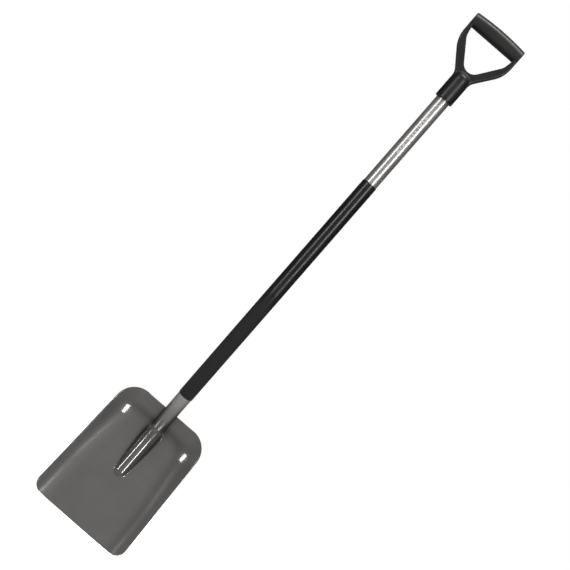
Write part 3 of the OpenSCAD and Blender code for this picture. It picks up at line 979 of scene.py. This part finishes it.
def zinc(name):
    """Brushed zinc plating."""
    material, tree, coords = new_material(name)
    stretched = add_node(
        tree, "ShaderNodeMapping", Vector=coords, Scale=(1, 40, 1)).outputs["Vector"]
    brush = noise(tree, stretched, 900, 3)
    close_material(
        tree, Base_Color=tinted(tree, brush, (0.45, 0.45, 0.44), (0.66, 0.66, 0.64)), Metallic=1.0,
        Roughness=span(tree, brush, 0.25, 0.4), Normal=bumped(tree, brush, 0.02 * MM))
    return material


DULL_COAT = 0.15                    # share of the clear coat left in a dull spot
CORNER_REACH = 100 * MM             # distance over which a corner gathers painted shade
CORNER_DEEP, CORNER_OPEN = 0.6, 0.98    # openness that counts as deepest, and as no corner
CORNER_SHADE = (0.15, 0.15, 0.15)   # what is left of the colour in the deepest corners, under the painted shade
LOWER_TONE_RAGGED = 12 * MM              # how uneven the lower tone's edge is
FLAKE_SHARE = 0.25                  # how much the flakes show in the colour
FLAKE_BUMP, PEEL_BUMP = 0.0004 * MM, 0.0007 * MM
COAT_IOR = 1.8
WELD_SPOT = tuple(pan_to_world(0, MOUTH_AT, MOUTH_CROWN_H))
# colour the tube darkens to towards the blade, full at 240 mm and gone by 325 mm
LOWER_TUBE_TONE = (0.10, 0.097, 0.092)
BLACK = ((0.0045, 0.0045, 0.0049), (0.0080, 0.0080, 0.0085))

blade_paint = metal_paint(
    "blade_paint", (0.068, 0.065, 0.061), (0.092, 0.088, 0.0825), metallic=0.1, roughness=0.42,
    coat=1.0, coat_roughness=0.1, dull_spot=(WELD_SPOT, 14 * MM, 36 * MM))
worn_edge = metal_paint(
    "worn_edge", (0.10, 0.096, 0.09), (0.15, 0.144, 0.135), metallic=0.3, roughness=0.55,
    coat=0.1, coat_roughness=0.3)
tube_paint = metal_paint(
    "tube_paint", (0.40, 0.395, 0.385), (0.52, 0.515, 0.505), metallic=0.8, roughness=0.34,
    coat=0.6, coat_roughness=0.28, lower_tone=(LOWER_TUBE_TONE, 240 * MM, 325 * MM))
sleeve_plastic = moulded(
    "sleeve_plastic", *BLACK, roughness=0.3, grain_scale=1500, grain_depth=0.004 * MM)
yoke_plastic = moulded(
    "yoke_plastic", *BLACK, roughness=0.36, grain_scale=1100, grain_depth=0.005 * MM)
grip_rubber = moulded(
    "grip_rubber", (0.008, 0.0077, 0.0073), (0.012, 0.0116, 0.011), roughness=0.42,
    grain_scale=1300, grain_depth=0.005 * MM, sheen=0.1)
pale_ink = moulded(
    "pale_ink", (0.48, 0.475, 0.465), (0.62, 0.615, 0.60), roughness=0.4, grain_scale=900,
    grain_depth=0.002 * MM)
weld_paint = weld_metal("weld_paint")
screw_zinc = zinc("screw_zinc")


# ---- Pieces ----

CRISP_DEG, SOFT_DEG = 50, 60        # edges that turn by more than this stay sharp

sheet, edge_faces = blade_mesh()
finish_piece(sheet, blade_paint, CRISP_DEG, ["blade"])
sheet.data.materials.append(worn_edge)
inner_faces = len(sheet.data.polygons) - edge_faces
sheet.data.polygons.foreach_set("material_index", [0] * inner_faces + [1] * edge_faces)

tube_section = tube_profile(
    -TUBE_DEPTH, s_at_height(tube_high[2]), TUBE_R, TUBE_R - TUBE_WALL, TUBE_EDGE_R)
finish_piece(
    swept_ring("tube", tube_section), tube_paint, CRISP_DEG, ["shaft_tube"])

finish_piece(dashes_mesh(), pale_ink, CRISP_DEG)

sleeve_section = tube_profile(
    s_at_height(SLEEVE_LOW_Z), s_at_height(sleeve_high[2]), SLEEVE_R, TUBE_R + SLEEVE_GAP,
    SLEEVE_EDGE_R)
sleeve = swept_ring("sleeve", sleeve_section)
finish_piece(sleeve, sleeve_plastic, SOFT_DEG, ["shaft_sleeve"])

finish_piece(front_weld_mesh(), weld_paint, SOFT_DEG, ["front_weld"])
finish_piece(rear_weld_mesh(), weld_paint, SOFT_DEG, ["rear_weld"])
finish_piece(yoke_mesh(), yoke_plastic, SOFT_DEG, ["handle_yoke"])
finish_piece(grip_mesh(), grip_rubber, CRISP_DEG, ["grip_cover"])

for node_name, material in (("tube_end_plug", sleeve_plastic), ("handle_screw", screw_zinc)):
    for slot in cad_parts[node_name].material_slots:
        slot.material = material


# ---- Stage, light and camera ----

FLOOR_DROP = 0.35           # how far the floor lies below the cutting edge
FLOOR_HALF = 6.0
CENTRE_Z = (cad_low[2] + cad_high[2]) / 2
STRIP_AWAY = 6.0            # from the shaft
STRIP_LOW_Z = 0.63
STRIP_RADIANCE = 24.0
# Upright strip lights, as (name, azimuth in degrees, width, height of the top)
STRIPS = (("strip_left", -40, 0.54, 2.35), ("strip_right", 35, 0.66, 2.57))


def area_light(name, position, target, size, power):
    data = bpy.data.lights.new(name, "AREA")
    data.shape = "RECTANGLE"
    data.size, data.size_y = size
    data.energy = power
    light = placed(name, data)
    light.location = position
    aim = Vector(target) - Vector(position)
    light.rotation_euler = aim.to_track_quat("-Z", "Y").to_euler()
    return light


def around(azimuth_deg, distance, z):
    """A place round the shaft; azimuth 0 is in front of the blade, positive to the right."""
    t = math.radians(azimuth_deg)
    return (distance * math.sin(t), -distance * math.cos(t), z)


for name, azimuth, width, top_z in STRIPS:
    middle_z = (STRIP_LOW_Z + top_z) / 2
    length = top_z - STRIP_LOW_Z
    power = STRIP_RADIANCE * math.pi * width * length
    area_light(
        name, around(azimuth, STRIP_AWAY, middle_z), (0, 0, middle_z), (width, length), power)
area_light(
    "top_strip", position=(0, -0.55, 2.6), target=(0, 0, 1.25), size=(1.2, 0.4), power=20)
# Brightens the back views without a mirror image of its own
back_fill = area_light(
    "back_fill", position=around(165, 3.0, 1.6), target=(0, 0, CENTRE_Z), size=(2.0, 2.0),
    power=110)
back_fill.visible_glossy = False


def pale_floor():
    """A plain pale floor that the camera sees and that throws no light on the shovel."""
    half = FLOOR_HALF
    corners = [(-half, -half, 0), (half, -half, 0), (half, half, 0), (-half, half, 0)]
    floor = new_object("floor", corners, [(0, 1, 2, 3)])
    floor.location.z = cad_low[2] - FLOOR_DROP
    material = bpy.data.materials.new("pale_floor")
    material.use_nodes = True
    tree = material.node_tree
    shader = tree.nodes["Principled BSDF"]
    shader.inputs["Base Color"].default_value = (0.9, 0.9, 0.9, 1)
    shader.inputs["Roughness"].default_value = 0.9
    shader.inputs["Emission Color"].default_value = (1, 1, 1, 1)
    shader.inputs["Emission Strength"].default_value = 0.8
    floor.data.materials.append(material)
    floor.visible_diffuse = False
    floor.visible_glossy = False


# Brightness of the studio by height of the direction, as (sine of elevation, brightness)
SKY = (
    (-1.0, 0.25), (-0.55, 0.6), (-0.3, 0.68), (-0.08, 0.2), (0.2, 0.13), (0.6, 0.2), (1.0, 0.3))
WARM = (1, 0.985, 0.965)
BEHIND = 0.45       # brightness behind the shovel against that in front of it
GLOW_AZ, GLOW_EL = math.radians(8), math.radians(32)        # middle of the soft glow in front
GLOW_EDGE, GLOW_CORE = math.radians(38), math.radians(12)   # where it starts and is full
GLOW = 0.45


def soft_world():
    """The camera sees white; surfaces are lit by a dimmer grey studio."""
    world = bpy.data.worlds.new("studio")
    bpy.context.scene.world = world
    world.use_nodes = True
    tree = world.node_tree
    tree.nodes.clear()
    camera_ray = add_node(tree, "ShaderNodeLightPath").outputs["Is Camera Ray"]
    seen = add_node(tree, "ShaderNodeBackground", Color=(1, 1, 1, 1), Strength=1.0)
    way = add_node(tree, "ShaderNodeTexCoord").outputs["Generated"]
    axes = add_node(tree, "ShaderNodeSeparateXYZ", Vector=way).outputs
    height = add_node(tree, "ShaderNodeMapRange", Value=axes["Z"], From_Min=-1).outputs["Result"]
    ramp = add_node(tree, "ShaderNodeValToRGB", Fac=height)
    while len(ramp.color_ramp.elements) < len(SKY):
        ramp.color_ramp.elements.new(0.5)
    for stop, (sine, level) in zip(ramp.color_ramp.elements, SKY):
        stop.position = (sine + 1) / 2
        stop.color = (*(level * part for part in WARM), 1)
    facing = add_node(
        tree, "ShaderNodeMapRange", Value=axes["Y"], From_Min=-1, To_Min=1, To_Max=BEHIND)
    lit = add_node(
        tree, "ShaderNodeBackground", Color=ramp.outputs["Color"],
        Strength=facing.outputs["Result"])
    middle = (math.sin(GLOW_AZ) * math.cos(GLOW_EL), -math.cos(GLOW_AZ) * math.cos(GLOW_EL),
              math.sin(GLOW_EL))
    closeness = add_node(tree, "ShaderNodeVectorMath", p_operation="DOT_PRODUCT")
    tree.links.new(way, closeness.inputs[0])
    closeness.inputs[1].default_value = middle
    glow = add_node(
        tree, "ShaderNodeMapRange", p_interpolation_type="SMOOTHSTEP",
        Value=closeness.outputs["Value"], From_Min=math.cos(GLOW_EDGE),
        From_Max=math.cos(GLOW_CORE), To_Max=GLOW).outputs["Result"]
    glowing = add_node(tree, "ShaderNodeBackground", Color=(*WARM, 1), Strength=glow)
    both = add_node(tree, "ShaderNodeAddShader")
    tree.links.new(lit.outputs[0], both.inputs[0])
    tree.links.new(glowing.outputs[0], both.inputs[1])
    mixer = add_node(tree, "ShaderNodeMixShader", Fac=camera_ray)
    tree.links.new(both.outputs[0], mixer.inputs[1])
    tree.links.new(seen.outputs[0], mixer.inputs[2])
    add_node(tree, "ShaderNodeOutputWorld", Surface=mixer.outputs[0])


CAMERA_AWAY = 3.1
CAMERA_X, CAMERA_Z = 0.0044, 0.6189
CAMERA_ROLL = math.radians(41.08)
PICTURE_W = 1.1115          # what the picture spans at the shaft's distance
SENSOR_W_MM = 36


def photo_camera():
    """Square to the upper shaft, rolled so that the shovel lies across the picture."""
    data = bpy.data.cameras.new("camera")
    data.sensor_width = SENSOR_W_MM
    data.lens = SENSOR_W_MM * CAMERA_AWAY / PICTURE_W
    right = Vector((math.cos(CAMERA_ROLL), 0, math.sin(CAMERA_ROLL)))
    up = Vector((-math.sin(CAMERA_ROLL), 0, math.cos(CAMERA_ROLL)))
    pose = Matrix((right, up, Vector((0, -1, 0)))).transposed().to_4x4()
    pose.translation = (CAMERA_X, -CAMERA_AWAY, CAMERA_Z)
    camera = placed("camera", data)
    camera.matrix_world = pose
    bpy.context.scene.camera = camera


pale_floor()
soft_world()
photo_camera()
bpy.context.scene.view_settings.view_transform = "Standard"
